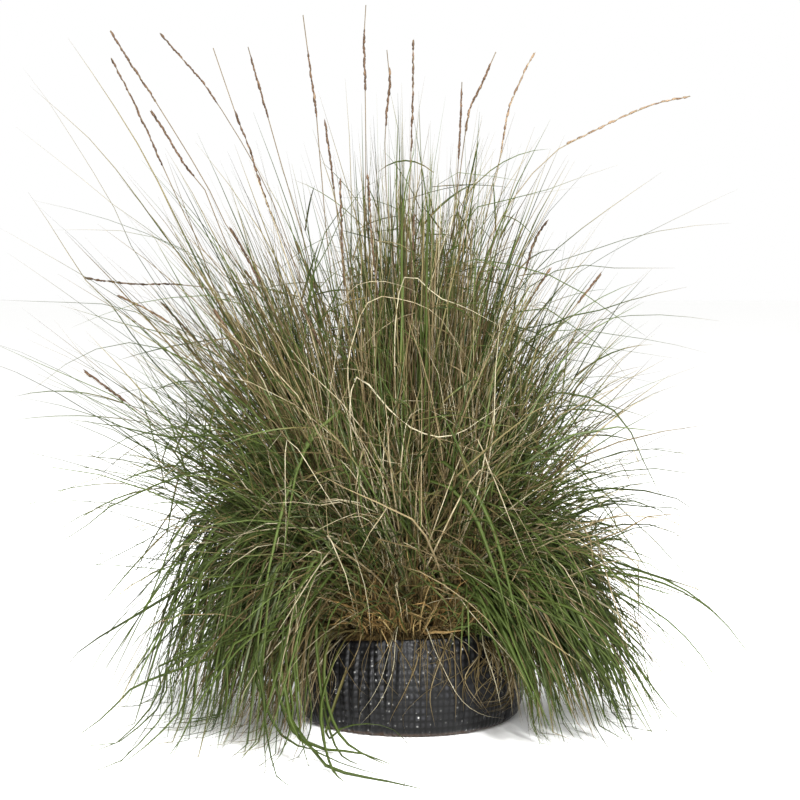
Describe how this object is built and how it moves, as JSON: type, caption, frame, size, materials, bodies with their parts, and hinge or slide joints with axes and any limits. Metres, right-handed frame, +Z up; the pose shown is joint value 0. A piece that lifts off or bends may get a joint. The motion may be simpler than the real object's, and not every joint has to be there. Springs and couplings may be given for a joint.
{
  "type": "potted ornamental grass clump",
  "caption": "Dense clump of ornamental grass with thin brown flower spikes, growing in a low, soft pot of black woven tape.",
  "frame": {"origin": "centre of the flat underside of the pot", "axes": "+Z up; -Y is the side where leaves trail along the surface; -X is the side where the clump reaches farthest"},
  "size_m": [0.7536, 0.68, 0.757],
  "materials": {
    "woven_tape": "satin",
    "potting_mix": "matte",
    "leaf_bases": "matte",
    "green_leaf": "satin",
    "dry_leaf": "matte",
    "flower_spike": "matte"
  },
  "bodies": {
    "root": {"arching_leaf_tuft_01": "green_leaf", "arching_leaf_tuft_02": "green_leaf", "arching_leaf_tuft_03": "green_leaf", "arching_leaf_tuft_04": "green_leaf", "arching_leaf_tuft_05": "green_leaf", "arching_leaf_tuft_06": "green_leaf", "arching_leaf_tuft_07": "green_leaf", "arching_leaf_tuft_08": "green_leaf", "arching_leaf_tuft_09": "green_leaf", "arching_leaf_tuft_10": "green_leaf", "crown": "leaf_bases", "dry_leaf_tuft_01": "dry_leaf", "dry_leaf_tuft_02": "dry_leaf", "dry_leaf_tuft_03": "dry_leaf", "dry_leaf_tuft_04": "dry_leaf", "fabric_pot": "woven_tape", "fan_leaf_tuft_01": "green_leaf", "fan_leaf_tuft_02": "green_leaf", "fan_leaf_tuft_03": "green_leaf", "fan_leaf_tuft_04": "green_leaf", "fan_leaf_tuft_05": "green_leaf", "fan_leaf_tuft_06": "green_leaf", "fan_leaf_tuft_07": "green_leaf", "fan_leaf_tuft_08": "green_leaf", "fan_leaf_tuft_09": "green_leaf", "flower_stem_01": "flower_spike", "flower_stem_02": "flower_spike", "flower_stem_03": "flower_spike", "flower_stem_04": "flower_spike", "flower_stem_05": "flower_spike", "flower_stem_06": "flower_spike", "flower_stem_07": "flower_spike", "flower_stem_08": "flower_spike", "flower_stem_09": "flower_spike", "inner_leaf_tuft_01": "green_leaf", "inner_leaf_tuft_02": "green_leaf", "inner_leaf_tuft_03": "green_leaf", "inner_leaf_tuft_04": "green_leaf", "inner_leaf_tuft_05": "green_leaf", "inner_leaf_tuft_06": "green_leaf", "inner_leaf_tuft_07": "green_leaf", "potting_mix": "potting_mix", "skirt_leaf_tuft_01": "green_leaf", "skirt_leaf_tuft_02": "green_leaf", "skirt_leaf_tuft_03": "green_leaf", "skirt_leaf_tuft_04": "green_leaf", "skirt_leaf_tuft_05": "green_leaf", "skirt_leaf_tuft_06": "green_leaf", "skirt_leaf_tuft_07": "green_leaf", "skirt_leaf_tuft_08": "green_leaf", "skirt_leaf_tuft_09": "green_leaf", "skirt_leaf_tuft_10": "green_leaf", "trailing_leaf_tuft_01": "green_leaf", "trailing_leaf_tuft_02": "green_leaf", "trailing_leaf_tuft_03": "green_leaf", "upright_leaf_tuft_01": "green_leaf", "upright_leaf_tuft_02": "green_leaf", "upright_leaf_tuft_03": "green_leaf", "upright_leaf_tuft_04": "green_leaf"}
  },
  "joints": []
}
